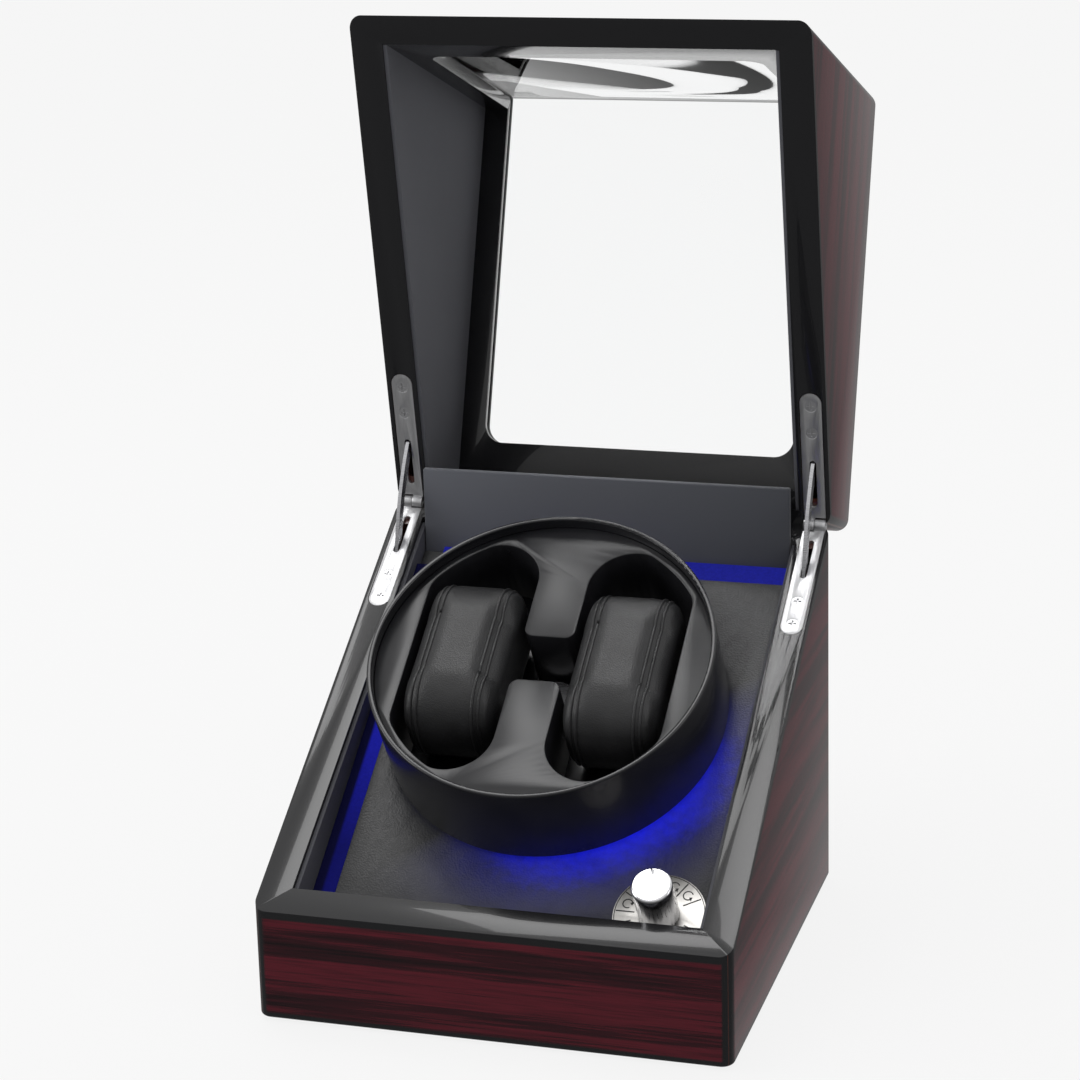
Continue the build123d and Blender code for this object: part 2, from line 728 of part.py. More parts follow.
def cushion(side):
    with BuildPart() as pillow:
        with BuildSketch(across(min(side * CUSHION_IN, side * CUSHION_OUT))):
            with Locations((0, DRUM_FLOOR + CUSHION_H / 2)):
                RectangleRounded(CUSHION_LEN, CUSHION_H, CUSHION_ROUND)
        extrude(amount=CUSHION_OUT - CUSHION_IN)
        ends = pillow.faces().filter_by(Axis.X).edges()
        fillet(ends, CUSHION_END_R)
    return pillow.part


def spur_gear(centre_x, low, thick, teeth, first_angle, bore_r):
    pitch_r = MODULE * teeth / 2
    tip_r = pitch_r + MODULE
    root_r = pitch_r - 1.25 * MODULE
    half_pitch = pi * MODULE / 4 - TOOTH_THIN
    root_half = half_pitch + 0.3 * MODULE
    tip_half = half_pitch - 0.42 * MODULE
    with BuildPart() as gear:
        with BuildSketch(DECK.offset(low)):
            with Locations((centre_x, 0)):
                Circle(root_r)
                with PolarLocations(0, teeth, start_angle=first_angle):
                    Polygon(
                        (root_r - 0.3, -root_half),
                        (pitch_r, -half_pitch),
                        (tip_r, -tip_half),
                        (tip_r, tip_half),
                        (pitch_r, half_pitch),
                        (root_r - 0.3, root_half),
                        align=None,
                    )
                Circle(bore_r, mode=Mode.SUBTRACT)
        extrude(amount=thick)
    return gear.part


rotor_gear = spur_gear(0, GEAR_LOW, GEAR_T, GEAR_TEETH, 0, SHAFT_R)
pinion = spur_gear(MOTOR_X, PINION_LOW, PINION_T, PINION_TEETH, 180 / PINION_TEETH, MOTOR_SHAFT_R)

# ---------------------------------------------------------------- drive under the deck
MOTOR_FACE = BRACKET_TOP - BRACKET_T
MOTOR_SHAFT_DEPTH = 8
MOTOR_BOSS_R = 4
MOTOR_SCREW_X = 8.5
MOTOR_SCREW_R = 1.2
MOTOR_SCREW_LEN = 7
MOTOR_CAP_R = 10
motor_spots = [(MOTOR_X + MOTOR_SCREW_X * side, 0) for side in SIDES]

with BuildPart() as motor_shaft:
    with BuildSketch(DECK.offset(MOTOR_FACE - MOTOR_SHAFT_DEPTH)):
        with Locations((MOTOR_X, 0)):
            Circle(MOTOR_SHAFT_R)
    extrude(amount=PINION_LOW + PINION_T + 0.5 - MOTOR_FACE + MOTOR_SHAFT_DEPTH)
with BuildPart() as motor:
    with BuildSketch(DECK.offset(MOTOR_FACE)):
        with Locations((MOTOR_X, 0)):
            Circle(MOTOR_R)
    extrude(amount=-MOTOR_LEN)
    with BuildSketch(DECK.offset(MOTOR_FACE - MOTOR_LEN)):
        with Locations((MOTOR_X, 0)):
            Circle(MOTOR_CAP_R)
    extrude(amount=-2)
    with BuildSketch(DECK.offset(MOTOR_FACE)):
        with Locations((MOTOR_X, 0)):
            Circle(MOTOR_BOSS_R)
    extrude(amount=BRACKET_T)
    with BuildSketch(DECK.offset(BRACKET_TOP)):
        with Locations((MOTOR_X, 0)):
            Circle(MOTOR_SHAFT_R + RUNNING)
    extrude(amount=-BRACKET_T - MOTOR_SHAFT_DEPTH - 0.5, mode=Mode.SUBTRACT)
    with BuildSketch(DECK.offset(MOTOR_FACE)):
        for spot in motor_spots:
            with Locations(spot):
                Circle(MOTOR_SCREW_R)
    extrude(amount=-MOTOR_SCREW_LEN, mode=Mode.SUBTRACT)
with BuildPart() as motor_bracket:
    with BuildSketch(DECK.offset(BRACKET_TOP)):
        with Locations(((BRACKET_X[0] + BRACKET_X[1]) / 2, 0)):
            RectangleRounded(BRACKET_X[1] - BRACKET_X[0], 2 * BRACKET_HALF, POST_INSET)
        with Locations((MOTOR_X, 0)):
            Circle(MOTOR_BOSS_R, mode=Mode.SUBTRACT)
        for spot in motor_spots:
            with Locations(spot):
                Circle(MOTOR_SCREW_R, mode=Mode.SUBTRACT)
        for spot in post_spots:
            with Locations(spot):
                Circle(POST_SCREW_R, mode=Mode.SUBTRACT)
    extrude(amount=-BRACKET_T)
with BuildPart() as bracket_posts:
    with BuildSketch(DECK.offset(BRACKET_TOP)):
        for spot in post_spots:
            with Locations(spot):
                Circle(POST_R)
                Circle(POST_SCREW_R, mode=Mode.SUBTRACT)
    extrude(amount=-DECK_T - BRACKET_TOP)
bracket_screws = screw_set(
    DECK, post_spots, MOTOR_FACE - HUB_SCREW_HEAD_T, 1,
    HUB_SCREW_HEAD_R, HUB_SCREW_HEAD_T, POST_SCREW_R, POST_SCREW_TIP - MOTOR_FACE + HUB_SCREW_HEAD_T,
)
motor_screws = screw_set(
    DECK, motor_spots, BRACKET_TOP + 1.2, -1, 2, 1.2, MOTOR_SCREW_R, MOTOR_SCREW_LEN,
)

# ---------------------------------------------------------------- mode knob
SWITCH_SIZE = 14
SWITCH_DEPTH = 9
NUT_FLAT_R = 4.8
NUT_T = 1.8
POINTER_W = 1.4
POINTER_DEPTH = 1
POINTER_LEN = 4.6
KNOB_TOP_R = 1

with BuildPart() as dial_plate:
    with BuildSketch(DECK):
        with Locations(knob_spot):
            Circle(DIAL_R)
            Circle(SLEEVE_R, mode=Mode.SUBTRACT)
    extrude(amount=DIAL_T)
with BuildPart() as selector_switch:
    with BuildSketch(DECK.offset(-DECK_T)):
        with Locations(knob_spot):
            RectangleRounded(SWITCH_SIZE, SWITCH_SIZE, 1)
    extrude(amount=-SWITCH_DEPTH)
    with BuildSketch(DECK.offset(-DECK_T)):
        with Locations(knob_spot):
            Circle(SLEEVE_R)
    extrude(amount=DECK_T + SLEEVE_TOP)
    with BuildSketch(DECK.offset(SLEEVE_TOP)):
        with Locations(knob_spot):
            Circle(SELECTOR_R + RUNNING)
    extrude(amount=-DECK_T - SLEEVE_TOP - SWITCH_DEPTH + 2, mode=Mode.SUBTRACT)
with BuildPart() as selector_nut:
    with BuildSketch(DECK.offset(DIAL_T)):
        with Locations(knob_spot):
            RegularPolygon(NUT_FLAT_R, 6, major_radius=False)
            Circle(SLEEVE_R, mode=Mode.SUBTRACT)
    extrude(amount=NUT_T)
with BuildPart() as selector_shaft:
    with BuildSketch(DECK.offset(-DECK_T - SWITCH_DEPTH + 3)):
        with Locations(knob_spot):
            Circle(SELECTOR_R)
    extrude(amount=DECK_T + SWITCH_DEPTH - 3 + SELECTOR_TOP)
with BuildPart() as mode_knob:
    with BuildSketch(DECK.offset(KNOB_LOW)):
        with Locations(knob_spot):
            Circle(KNOB_R)
    extrude(amount=KNOB_HIGH - KNOB_LOW)
    fillet(mode_knob.faces().sort_by(Axis((0, 0, 0), DECK.z_dir))[-1].edges(), KNOB_TOP_R)
    with BuildSketch(DECK.offset(KNOB_LOW)):
        with Locations(knob_spot):
            Circle(KNOB_CUP_R)
    extrude(amount=KNOB_CUP_TOP - KNOB_LOW, mode=Mode.SUBTRACT)
    with BuildSketch(DECK.offset(KNOB_CUP_TOP)):
        with Locations(knob_spot):
            Circle(SELECTOR_R)
    extrude(amount=SELECTOR_TOP - KNOB_CUP_TOP, mode=Mode.SUBTRACT)
    with BuildSketch(DECK.offset(KNOB_HIGH)):
        with Locations(knob_spot):
            with PolarLocations(KNOB_R - POINTER_LEN / 2 + 0.5, 1, start_angle=POINTER_ANGLE):
                Rectangle(POINTER_LEN, POINTER_W)
    extrude(amount=-POINTER_DEPTH, mode=Mode.SUBTRACT)

# ---------------------------------------------------------------- power inlet
JACK_FLANGE_R = 6
JACK_FLANGE_T = 1.5
JACK_BODY_LEN = 16
JACK_BORE_R = 2.8
JACK_BORE_DEPTH = 9
JACK_PIN_R = 0.8
JACK_NUT_R = 5.5
JACK_NUT_T = 2.5
with BuildPart() as power_jack:
    with BuildSketch(JACK_FACE):
        with Locations(jack_spot):
            Circle(JACK_FLANGE_R)
    extrude(amount=-JACK_FLANGE_T)
    with BuildSketch(JACK_FACE):
        with Locations(jack_spot):
            Circle(JACK_NECK_R)
    extrude(amount=JACK_BODY_LEN)
    with BuildSketch(JACK_FACE.offset(-JACK_FLANGE_T)):
        with Locations(jack_spot):
            Circle(JACK_BORE_R)
            Circle(JACK_PIN_R, mode=Mode.SUBTRACT)
    extrude(amount=JACK_BORE_DEPTH, mode=Mode.SUBTRACT)
with BuildPart() as jack_nut:
    with BuildSketch(JACK_FACE.offset(BASE_BACK_T)):
        with Locations(jack_spot):
            RegularPolygon(JACK_NUT_R, 6, major_radius=False)
            Circle(JACK_NECK_R, mode=Mode.SUBTRACT)
    extrude(amount=JACK_NUT_T)

# ---------------------------------------------------------------- controller
BOARD_PLANE = Plane.XY.offset(FLOOR_TOP + BOARD_LIFT)
BOARD_SCREW_R = 1.25
SPACER_R = 2.5
board_spots = []
for side_x in SIDES:
    for side_y in SIDES:
        corner_x = BOARD_X + side_x * (BOARD_SIZE[0] / 2 - POST_INSET)
        corner_y = BOARD_Y + side_y * (BOARD_SIZE[1] / 2 - POST_INSET)
        board_spots.append((corner_x, corner_y))
with BuildPart() as controller_board:
    with BuildSketch(BOARD_PLANE):
        with Locations((BOARD_X, BOARD_Y)):
            RectangleRounded(BOARD_SIZE[0], BOARD_SIZE[1], 2)
        for spot in board_spots:
            with Locations(spot):
                Circle(BOARD_SCREW_R, mode=Mode.SUBTRACT)
    extrude(amount=BOARD_T)
with BuildPart() as board_spacers:
    with BuildSketch(Plane.XY.offset(FLOOR_TOP)):
        for spot in board_spots:
            with Locations(spot):
                Circle(SPACER_R)
                Circle(BOARD_SCREW_R, mode=Mode.SUBTRACT)
    extrude(amount=BOARD_LIFT)
board_screws = screw_set(
    BOARD_PLANE, board_spots, BOARD_T + 1.4, -1, 2.2, 1.4, BOARD_SCREW_R, 1.4 + BOARD_T + BOARD_LIFT,
)
with BuildPart() as board_parts:
    with BuildSketch(BOARD_PLANE.offset(BOARD_T)):
        with Locations((BOARD_X - 6, BOARD_Y)):
            Rectangle(12, 9)
    extrude(amount=1.8)
    with BuildSketch(BOARD_PLANE.offset(BOARD_T)):
        with Locations((BOARD_X + 16, BOARD_Y - 6)):
            Circle(3.2)
    extrude(amount=9)
    with BuildSketch(BOARD_PLANE.offset(BOARD_T)):
        for connector in range(3):
            with Locations((BOARD_X - 12 + 12 * connector, BOARD_Y + 15)):
                Rectangle(8, 5)
    extrude(amount=5.5)

# ---------------------------------------------------------------- files
save(base_felt.part, "base_felt")
save(base_floor.part, "base_floor")
save(base_lining.part, "base_lining")
save(lip_board.part, "lip_board")
save(lid_top_panel.part, "lid_top_panel")
save(lid_lining.part, "lid_lining")
save(lid_pane.part, "lid_pane")
save(base_hinge_leaves, "base_hinge_leaves")
save(lid_hinge_leaves, "lid_hinge_leaves")
save(base_hinge_screws, "base_hinge_screws")
save(lid_hinge_screws, "lid_hinge_screws")
save(hinge_pins.part, "hinge_pins")
save(stay_arm(-1), "stay_left")
save(stay_arm(1), "stay_right")
save(deck_board, "deck_board")
save(deck_cover, "deck_cover")
save(deck_battens.part, "deck_battens")
save(light_ring.part, "light_ring")
save(light_bar_left.part, "light_bar_left")
save(light_bar_back.part, "light_bar_back")
save(rotor_shell.part, "rotor_shell")
save(rotor_face.part, "rotor_face")
save(rotor_hub.part, "rotor_hub")
save(hub_screw, "hub_screw")
save(rotor_shaft.part, "rotor_shaft")
save(thrust_washer.part, "thrust_washer")
save(rotor_gear, "rotor_gear")
save(cushion(-1), "cushion_left")
save(cushion(1), "cushion_right")
save(shaft_bush.part, "shaft_bush")
save(motor.part, "motor")
save(motor_shaft.part, "motor_shaft")
save(pinion, "pinion")
save(motor_bracket.part, "motor_bracket")
save(bracket_posts.part, "bracket_posts")
save(bracket_screws, "bracket_screws")
save(motor_screws, "motor_screws")
save(dial_plate.part, "dial_plate")
save(selector_switch.part, "selector_switch")
save(selector_nut.part, "selector_nut")
save(selector_shaft.part, "selector_shaft")
save(mode_knob.part, "mode_knob")
save(power_jack.part, "power_jack")
save(jack_nut.part, "jack_nut")
save(controller_board.part, "controller_board")
save(board_spacers.part, "board_spacers")
save(board_screws, "board_screws")
save(board_parts.part, "board_parts")
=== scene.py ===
import bmesh
import bpy
from math import atan2, cos, degrees, exp, radians, sin
from mathutils import Matrix, Vector


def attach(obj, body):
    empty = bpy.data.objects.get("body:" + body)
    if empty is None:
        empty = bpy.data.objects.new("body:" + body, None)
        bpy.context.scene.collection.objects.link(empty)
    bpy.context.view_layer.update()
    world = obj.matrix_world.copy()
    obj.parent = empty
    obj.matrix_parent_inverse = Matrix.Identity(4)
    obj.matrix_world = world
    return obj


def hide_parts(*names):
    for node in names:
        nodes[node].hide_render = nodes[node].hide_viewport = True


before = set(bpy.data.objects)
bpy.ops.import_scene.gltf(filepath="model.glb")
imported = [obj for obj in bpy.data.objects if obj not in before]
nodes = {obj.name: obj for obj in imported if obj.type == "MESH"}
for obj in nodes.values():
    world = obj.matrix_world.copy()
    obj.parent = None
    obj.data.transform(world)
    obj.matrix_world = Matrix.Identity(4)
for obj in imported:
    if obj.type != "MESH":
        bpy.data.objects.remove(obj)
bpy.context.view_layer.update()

# The part's own sizes, in mm, as its source has them.
MM = 0.001
WIDTH = 180
DEPTH = 180
CLOSED_H = 190
FRONT_RIM_H = 44
BACK_RIM_H = 148
TILT = radians(33)
DECK_X = Vector((1, 0, 0))
DECK_UP = Vector((0, cos(TILT), sin(TILT)))
DECK_N = Vector((0, -sin(TILT), cos(TILT)))
DECK_FOOT = Vector((0, 8.6, 90.8)) * MM
HINGE = Vector((0, DEPTH / 2, BACK_RIM_H)) * MM
RIM_N = Vector((0, FRONT_RIM_H - BACK_RIM_H, DEPTH)).normalized()
LID_TURN = radians(110)


def on_deck(x, t, w):
    """A point given in mm across the deck, up its slope and off it."""
    return DECK_FOOT + (DECK_X * x + DECK_UP * t + DECK_N * w) * MM


# ------------------------------------------------------------------ materials
class Tree:
    """Small helper that adds shader nodes and links them."""

    def __init__(self, name):
        self.mat = bpy.data.materials.new(name)
        self.mat.use_nodes = True
        self.tree = self.mat.node_tree
        self.shader = self.tree.nodes["Principled BSDF"]

    def add(self, kind, **values):
        node = self.tree.nodes.new(kind)
        for key, value in values.items():
            setattr(node, key, value)
        return node

    def link(self, out, into):
        self.tree.links.new(out, into)

    def put(self, **values):
        for key, value in values.items():
            self.shader.inputs[key.replace("_", " ")].default_value = value

    def coords(self, lid=False):
        """Object coordinates, turned back to the closed lid's place for pieces on the lid."""
        source = self.add("ShaderNodeTexCoord")
        if not lid:
            return source.outputs["Object"], source.outputs["Normal"]
        place = self.add("ShaderNodeVectorRotate", rotation_type="X_AXIS")
        place.inputs["Center"].default_value = HINGE
        place.inputs["Angle"].default_value = LID_TURN
        self.link(source.outputs["Object"], place.inputs["Vector"])
        normal = self.add("ShaderNodeVectorRotate", rotation_type="X_AXIS")
        normal.inputs["Angle"].default_value = LID_TURN
        self.link(source.outputs["Normal"], normal.inputs["Vector"])
        return place.outputs["Vector"], normal.outputs["Vector"]

    def stretch(self, vector, scale):
        mapping = self.add("ShaderNodeMapping")
        mapping.inputs["Scale"].default_value = scale
        self.link(vector, mapping.inputs["Vector"])
        return mapping.outputs["Vector"]

    def noise(self, vector, scale, detail=4.0, rough=0.55):
        tex = self.add("ShaderNodeTexNoise")
        tex.inputs["Scale"].default_value = scale
        tex.inputs["Detail"].default_value = detail
        tex.inputs["Roughness"].default_value = rough
        self.link(vector, tex.inputs["Vector"])
        return tex.outputs["Fac"]

    def cells(self, vector, scale):
        tex = self.add("ShaderNodeTexVoronoi")
        tex.inputs["Scale"].default_value = scale
        self.link(vector, tex.inputs["Vector"])
        return tex.outputs["Distance"]

    def ramp(self, value, *stops):
        node = self.add("ShaderNodeValToRGB")
        elements = node.color_ramp.elements
        while len(elements) < len(stops):
            elements.new(0.5)
        for element, (place, colour) in zip(elements, stops):
            element.position = place
            element.color = (*colour, 1.0)
        self.link(value, node.inputs["Fac"])
        return node.outputs["Color"]

    def math(self, kind, a, b=None):
        node = self.add("ShaderNodeMath", operation=kind)
        for socket, value in zip(node.inputs, (a, b)):
            if value is None:
                continue
            if isinstance(value, (int, float)):
                socket.default_value = value
            else:
                self.link(value, socket)
        return node.outputs[0]

    def dot(self, vector, direction):
        node = self.add("ShaderNodeVectorMath", operation="DOT_PRODUCT")
        self.link(vector, node.inputs[0])
        node.inputs[1].default_value = direction
        return node.outputs["Value"]

    def between(self, value, low, high):
        node = self.add("ShaderNodeMapRange")
        node.inputs["From Min"].default_value = low
        node.inputs["From Max"].default_value = high
        self.link(value, node.inputs["Value"])
        return node.outputs["Result"]

    def mix(self, factor, a, b, blend="MIX"):
        node = self.add("ShaderNodeMix", data_type="RGBA", blend_type=blend)
        if isinstance(factor, float):
            node.inputs["Factor"].default_value = factor
        else:
            self.link(factor, node.inputs["Factor"])
        for socket, value in ((node.inputs[6], a), (node.inputs[7], b)):
            if isinstance(value, tuple):
                socket.default_value = (*value, 1.0)
            else:
                self.link(value, socket)
        return node.outputs[2]

    def bump(self, height, strength, distance):
        node = self.add("ShaderNodeBump")
        node.inputs["Strength"].default_value = strength
        node.inputs["Distance"].default_value = distance
        self.link(height, node.inputs["Height"])
        self.link(node.outputs["Normal"], self.shader.inputs["Normal"])
        return node


BLACK = (0.009, 0.009, 0.01)
RAW_EDGE = (0.075, 0.022, 0.015)
VENEER = (
    (0.36, (0.006, 0.002, 0.003)),
    (0.46, (0.026, 0.003, 0.006)),
    (0.55, (0.085, 0.006, 0.013)),
    (0.62, (0.04, 0.004, 0.008)),
    (0.72, (0.01, 0.002, 0.004)),
)

# Widths of the black bands beside the veneer, and where the hinge recesses lie, in metres.
ARRIS_W = 3.2 * MM
FOOT_BAND = 3.4 * MM
BASE_RIM_BAND = 2.2 * MM
LID_RIM_BAND = 2.6 * MM
FADE = 0.6 * MM
RECESS_INNER_X = 79.1 * MM
RECESS_OUTER_X = 88.5 * MM
BASE_RECESS_BELOW = 0.3 * MM
LID_RECESS_ABOVE = 0.7 * MM


def wood(name, outward, grain, lid=False, recess=False):
    """Lacquered veneer on the outward face, black lacquer on arrises and rims."""
    t = Tree(name)
    place, normal = t.coords(lid)
    broad = t.noise(t.stretch(place, tuple(0.35 * g for g in grain)), 1.0, 3.0, 0.5)
    streaks = t.noise(t.stretch(place, grain), 1.0, 6.0, 0.65)
    streaks = t.math("ADD", t.math("MULTIPLY", broad, 0.6), t.math("MULTIPLY", streaks, 0.4))
    fine = t.noise(t.stretch(place, tuple(4 * g for g in grain)), 1.0, 3.0, 0.6)
    both = t.math("ADD", t.math("MULTIPLY", streaks, 0.75), t.math("MULTIPLY", fine, 0.25))
    veneer = t.ramp(both, *VENEER)
    above_rim = t.math("SUBTRACT", t.dot(place, tuple(RIM_N)), HINGE.dot(RIM_N))
    height = t.dot(place, (0, 0, 1))
    if lid:
        edges = [t.between(above_rim, LID_RIM_BAND, LID_RIM_BAND + FADE)]
        top = CLOSED_H * MM - ARRIS_W
        if not outward[2]:
            edges.append(t.between(height, top, top - FADE))
    else:
        edges = [t.between(above_rim, -BASE_RIM_BAND, -BASE_RIM_BAND - FADE)]
        edges.append(t.between(height, FOOT_BAND, FOOT_BAND + FADE))
    for axis, size in enumerate((WIDTH, DEPTH)):
        if outward[axis] == 0:
            along = tuple(1 if k == axis else 0 for k in range(3))
            reach = size * MM / 2 - ARRIS_W
            edges.append(t.between(t.math("ABSOLUTE", t.dot(place, along)), reach, reach - FADE))
    facing = t.between(t.dot(normal, outward), 0.93, 0.99)
    for edge in edges:
        facing = t.math("MULTIPLY", facing, edge)
    colour = t.mix(facing, BLACK, veneer)
    if recess:
        if lid:
            inside = t.math("GREATER_THAN", above_rim, LID_RECESS_ABOVE)
        else:
            inside = t.math("LESS_THAN", above_rim, -BASE_RECESS_BELOW)
        across = t.math("ABSOLUTE", t.dot(place, (1, 0, 0)))
        beyond = t.math("GREATER_THAN", across, RECESS_INNER_X)
        short_of = t.math("LESS_THAN", across, RECESS_OUTER_X)
        cut = t.math("MULTIPLY", inside, t.math("MULTIPLY", beyond, short_of))
        colour = t.mix(cut, colour, RAW_EDGE)
    t.link(colour, t.shader.inputs["Base Color"])
    t.put(Roughness=0.22, Specular_IOR_Level=0.3, Coat_Weight=0.55, Coat_Roughness=0.03)
    t.bump(t.noise(place, 55.0, 2.0), 0.05, 0.0006)
    return t.mat


def plain(name, colour, rough, metal=0.0, grain=None, bump=0.0, wear=0.12, coat=0.0, reach=0.0003):
    """A finish with fine colour variation, roughness variation and bump."""
    t = Tree(name)
    place, normal = t.coords()
    scale = grain or (700, 700, 700)
    value = t.noise(t.stretch(place, scale), 1.0, 4.0)
    low = tuple(c * (1 - wear) for c in colour)
    high = tuple(min(1.0, c * (1 + wear)) for c in colour)
    t.link(t.ramp(value, (0.3, low), (0.7, high)), t.shader.inputs["Base Color"])
    rough_map = t.between(value, 0.0, 1.0)
    spread = t.math("ADD", t.math("MULTIPLY", rough_map, rough * 0.4), rough * 0.8)
    t.link(spread, t.shader.inputs["Roughness"])
    t.put(Metallic=metal, Coat_Weight=coat, Coat_Roughness=0.04)
    if bump:
        t.bump(value, bump, reach)
    return t.mat


GLOW = (
    (0.0, (0, 0, 0)),
    (0.35, (0.003, 0.004, 0.075)),
    (1.0, (0.006, 0.01, 0.6)),
)
GLOW_REACH = 105 * MM
DRUM_FOOT_R = 66 * MM
GLOW_SPAN = 70 * MM
GLOW_TOWARD = DECK_X * 0.62 - DECK_UP * 0.78


def add_glow(t, place):
    """Blue light spilt on the leather at the drum's front right, fading outwards."""
    spot = t.add("ShaderNodeVectorMath", operation="SUBTRACT")
    t.link(place, spot.inputs[0])
    spot.inputs[1].default_value = DECK_FOOT
    away = t.add("ShaderNodeVectorMath", operation="LENGTH")
    t.link(spot.outputs["Vector"], away.inputs[0])
    fade = t.math("POWER", t.between(away.outputs["Value"], GLOW_REACH, DRUM_FOOT_R), 2.2)
    side = t.dot(spot.outputs["Vector"], tuple(GLOW_TOWARD / GLOW_SPAN))
    toward = t.between(side, 0.35, 1.0)
    patch = t.math("ADD", 0.65, t.math("MULTIPLY", t.noise(place, 260.0, 3.0), 0.7))
    lit = t.math("MULTIPLY", t.math("MULTIPLY", fade, toward), patch)
    t.link(t.ramp(lit, *GLOW), t.shader.inputs["Emission Color"])
    t.put(Emission_Strength=1.0)


def leather(name, colour, cell=1500.0, rough=0.42, glow=False):
    """Pebbled leather: cells for the grain, slow noise for the sheen."""
    t = Tree(name)
    place, normal = t.coords()
    cells = t.cells(place, cell)
    crease = t.noise(place, cell * 0.35, 5.0, 0.6)
    height = t.math("ADD", t.math("MULTIPLY", cells, 0.7), t.math("MULTIPLY", crease, 0.5))
    slow = t.noise(place, 40.0, 3.0)
    low = tuple(c * 0.7 for c in colour)
    high = tuple(c * 1.25 for c in colour)
    t.link(t.ramp(slow, (0.35, low), (0.65, high)), t.shader.inputs["Base Color"])
    t.link(t.math("ADD", t.math("MULTIPLY", crease, 0.2), rough - 0.1), t.shader.inputs["Roughness"])
    t.put(Specular_IOR_Level=0.42)
    t.bump(height, 0.35, 0.00035)
    if glow:
        add_glow(t, place)
    return t.mat


# Colour of the painted wall shade where a light bar lies in shade.
UNLIT = (0.0008, 0.0008, 0.006)
SHADE_SOFTNESS = 0.6 * MM


def light(name, colour, strength, along=None, span=(0, 1), ends=(0.3, 0.6), shade_x=None):
    """A blue glow with a woven look: on the light ring it is the LED ring itself; on the light bars it is
    painted light standing in for the wall cloth lit blue by the LEDs under the deck.

    along, span and ends dim it towards its ends as painted shade; to the left of shade_x it stands in the
    wall's painted shade.
    """
    t = Tree(name)
    place, normal = t.coords()
    weave = t.noise(place, 900.0, 3.0)
    base = t.ramp(weave, (0.3, tuple(c * 0.75 for c in colour)), (0.7, colour))
    # Painted shade: the glow dims towards both ends of its span.
    if along is not None:
        where = t.between(t.dot(place, along), *span)
        full = (1, 1, 1)
        low_end, high_end = ((level,) * 3 for level in ends)
        shade = t.ramp(where, (0.0, low_end), (0.35, full), (0.62, full), (0.85, high_end))
        base = t.mix(1.0, base, shade, "MULTIPLY")
    # Painted shade: left of shade_x the glow gives way to UNLIT.
    if shade_x is not None:
        edge = t.between(t.dot(place, (1, 0, 0)), shade_x - SHADE_SOFTNESS, shade_x + SHADE_SOFTNESS)
        base = t.mix(edge, UNLIT, base)
    t.link(base, t.shader.inputs["Emission Color"])
    t.put(Emission_Strength=strength, Roughness=0.8, Specular_IOR_Level=0.05)
    t.put(Base_Color=(0.004, 0.004, 0.03, 1))
    return t.mat


LIP_GREYS = (
    (0.0, (0.115, 0.12, 0.137)),
    (0.55, (0.1, 0.104, 0.12)),
    (1.0, (0.055, 0.058, 0.068)),
)
LIP_HALF = 75 * MM


def lip_grey():
    """Grey cloth, a little darker towards the right."""
    t = Tree("lip_lining")
    place, normal = t.coords()
    side = t.between(t.dot(place, (1, 0, 0)), -LIP_HALF, LIP_HALF)
    t.link(t.ramp(side, *LIP_GREYS), t.shader.inputs["Base Color"])
    t.put(Roughness=0.85, Specular_IOR_Level=0.25, Sheen_Weight=0.2)
    t.bump(t.noise(place, 2600.0, 3.0), 0.2, 0.0002)
    return t.mat


def clear_acrylic():
    """The pane's plastic, with a faint haze."""
    t = Tree("clear_acrylic")
    place, normal = t.coords()
    haze = t.noise(place, 30.0, 3.0)
    t.link(t.math("MULTIPLY", haze, 0.03), t.shader.inputs["Roughness"])
    t.put(Base_Color=(0.985, 0.99, 0.99, 1), Transmission_Weight=1.0, IOR=1.12)
    return t.mat


def paint(names, mat):
    """Gives one material to every node named."""
    for name in names.split():
        mesh = nodes[name].data
        mesh.materials.clear()
        mesh.materials.append(mat)


# Grain runs along X on the front, back and top, and along Y on the sides.
ALONG_X = (5, 60, 210)
ALONG_Y = (60, 5, 210)
FACES = {
    "front": ((0, -1, 0), ALONG_X),
    "back": ((0, 1, 0), ALONG_X),
    "left": ((-1, 0, 0), ALONG_Y),
    "right": ((1, 0, 0), ALONG_Y),
}
for face, (outward, grain) in FACES.items():
    hinged = face in ("left", "right")
    paint(f"base_{face}_panel", wood(f"veneer_{face}", outward, grain, recess=hinged))
    paint(f"lid_{face}_panel", wood(f"veneer_lid_{face}", outward, grain, lid=True, recess=hinged))
paint("lid_top_panel", wood("veneer_lid_top", (0, 0, 1), (5, 210, 60), lid=True))

TURNED = (90, 90, 2600)
BRUSHED_ALONG_X = (1500, 150, 150)
BRUSHED_ALONG_Y = (2600, 60, 60)
FINE = (2600, 2600, 2600)
SMOOTH = (60, 60, 60)

steel = plain("steel", (0.55, 0.55, 0.57), 0.28, metal=1.0, grain=TURNED, bump=0.08)
leaf_metal = plain(
    "leaf_metal", (0.6, 0.6, 0.61), 0.36, metal=0.9, grain=BRUSHED_ALONG_X, bump=0.06, wear=0.06
)
chrome = plain("chrome", (0.68, 0.68, 0.7), 0.14, metal=1.0, grain=(300, 300, 300), wear=0.06)
dial_metal = plain(
    "dial_metal", (0.6, 0.585, 0.56), 0.33, metal=0.85, grain=BRUSHED_ALONG_Y, bump=0.1, wear=0.05
)
brass = plain("brass", (0.6, 0.43, 0.18), 0.25, metal=1.0)
gloss_black = plain("gloss_black_plastic", (0.008, 0.008, 0.01), 0.24, grain=SMOOTH, wear=0.25, coat=0.15)
face_black = plain("face_black_plastic", (0.013, 0.013, 0.015), 0.3, grain=SMOOTH, wear=0.25)
black_plastic = plain("black_plastic", (0.02, 0.02, 0.021), 0.45, bump=0.1)
white_plastic = plain("white_plastic", (0.7, 0.7, 0.67), 0.4, bump=0.05, wear=0.04)
green_board = plain("green_board", (0.02, 0.15, 0.055), 0.35, bump=0.05)
velvet = plain("lining_velvet", (0.085, 0.086, 0.098), 0.9, grain=FINE, bump=0.25)
